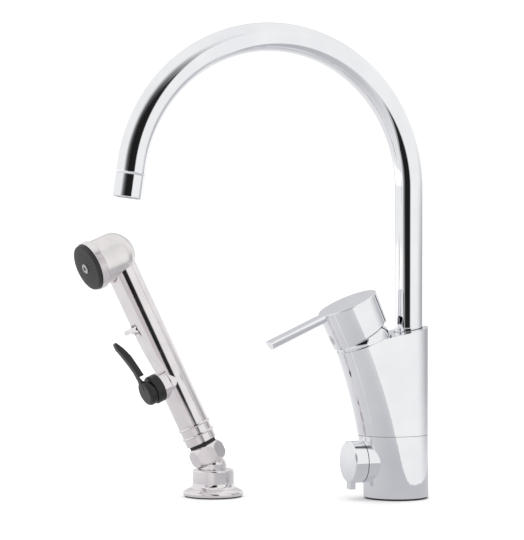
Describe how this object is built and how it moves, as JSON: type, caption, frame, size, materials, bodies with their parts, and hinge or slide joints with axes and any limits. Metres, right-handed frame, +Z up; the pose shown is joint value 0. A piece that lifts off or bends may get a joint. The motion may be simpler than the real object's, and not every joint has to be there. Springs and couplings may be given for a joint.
{
  "type": "kitchen faucet with side spray",
  "caption": "Chrome single-lever kitchen faucet with a high swivel spout, a dishwasher shut-off knob and a separate side spray handset resting in its own leaning deck holder.",
  "frame": {"origin": "centre of the mixer's foot, on the worktop's surface", "axes": "+Z up, -Y towards the user and the sink, +X to the right of a user who faces the mixer"},
  "size_m": [0.1354, 0.262, 0.3724],
  "materials": {
    "chrome": "polished chromium plate on brass",
    "satin_chrome": "bright chromium plate on plastic",
    "brass": "turned, unplated",
    "copper": "drawn copper tube",
    "steel": "stainless, as turned",
    "ceramic": "lapped alumina ceramic",
    "white_plastic": "moulded acetal",
    "grey_plastic": "moulded",
    "black_plastic": "moulded, slight sheen",
    "rubber": "moulded rubber"
  },
  "bodies": {
    "body": {"base_gasket": "rubber", "lower_body": "chrome", "connector_plate": "brass", "body_joint_seal": "rubber", "upper_body": "chrome", "supply_pipes": "copper", "cartridge_seal": "rubber", "cartridge_casing": "white_plastic", "fixed_disc": "ceramic", "cartridge_nut": "brass", "dome_ring": "chrome", "spout_glide_ring": "white_plastic", "spout_stop_screw": "steel", "valve_headwork": "brass", "valve_seat_disc": "ceramic", "spray_base_gasket": "rubber", "spray_base": "chrome", "socket_bush": "white_plastic", "socket_clip": "white_plastic"},
    "spout": {"spout_tube": "chrome", "spout_bush": "brass", "spout_o_rings": "rubber", "aerator_sleeve": "chrome", "aerator_washer": "rubber", "aerator_insert": "grey_plastic"},
    "lever_turntable": {"cartridge_rotor": "white_plastic", "stem_pin": "steel"},
    "lever": {"cartridge_stem": "brass", "lever_handle": "chrome", "lever_screw": "steel", "indicator_plug": "grey_plastic"},
    "ceramic_slider": {"moving_disc": "ceramic"},
    "valve_handle": {"valve_turn_disc": "ceramic", "valve_spindle": "brass", "valve_knob": "chrome", "valve_knob_screw": "steel"},
    "spray_socket": {"swivel_socket": "chrome"},
    "handset": {"hose_ferrule": "brass", "hose_nut": "chrome", "hose_washer": "rubber", "lower_sleeve": "chrome", "check_valve": "white_plastic", "handle_tube": "chrome", "trigger_boss": "chrome", "valve_ring": "black_plastic", "plunger_spring": "steel", "latch_lug": "chrome", "latch_pin": "black_plastic", "head_shell": "satin_chrome", "head_seal": "rubber", "rim_ring": "chrome", "spray_face": "black_plastic", "face_screw": "steel"},
    "trigger": {"trigger_lever": "black_plastic", "trigger_pin": "steel"},
    "push_rod": {"plunger": "steel"},
    "catch": {"latch_catch": "chrome"}
  },
  "joints": [
    {"name": "spout_swivel", "type": "hinge", "parent": "body", "child": "spout", "pos_m": [0, 0.011, 0], "axis": [0, 0, 1], "range_deg": [-60, 60]},
    {"name": "lever_turn", "type": "hinge", "parent": "body", "child": "lever_turntable", "pos_m": [0, -0.02537, 0.11596], "axis": [0, -0.3665, 0.9304], "range_deg": [-45, 45]},
    {"name": "lever_lift", "type": "hinge", "parent": "lever_turntable", "child": "lever", "pos_m": [0, -0.02537, 0.11596], "axis": [-1, 0, 0], "range_deg": [0, 20]},
    {"name": "disc_slide", "type": "slide", "parent": "lever_turntable", "child": "ceramic_slider", "axis": [0, -0.9304, -0.3665], "range_m": [0, 0.00366]},
    {"name": "valve_turn", "type": "hinge", "parent": "body", "child": "valve_handle", "pos_m": [0, -0.0367, 0.0295], "axis": [0, -1, 0], "range_deg": [0, 90]},
    {"name": "socket_swivel", "type": "hinge", "parent": "body", "child": "spray_socket", "pos_m": [-0.0634, -0.1311, 0.01], "axis": [0, 0, 1], "range_deg": [-60, 60]},
    {"name": "handset_lift", "type": "slide", "parent": "spray_socket", "child": "handset", "axis": [-0.1516, -0.3928, 0.907], "range_m": [0, 0.1]},
    {"name": "trigger_squeeze", "type": "hinge", "parent": "handset", "child": "trigger", "pos_m": [-0.0717, -0.18297, 0.08344], "axis": [-0.9793, -0.065, -0.1918], "range_deg": [0, 20.4], "stiffness_Nm_per_rad": 0.15, "springref_deg": -22.92},
    {"name": "push_rod_slide", "type": "slide", "parent": "handset", "child": "push_rod", "axis": [-0.1343, 0.9173, 0.3748], "range_m": [0, 0.00141], "deforming": ["plunger_spring"]},
    {"name": "catch_turn", "type": "hinge", "parent": "handset", "child": "catch", "pos_m": [-0.08083, -0.19083, 0.13275], "axis": [0.9793, 0.065, 0.1918], "range_deg": [0, 12]}
  ],
  "couplings": [
    {"joint": "disc_slide", "follows": "lever_lift", "m_per_rad": 0.010457},
    {"joint": "push_rod_slide", "follows": "trigger_squeeze", "m_per_rad": 0.0039321}
  ]
}
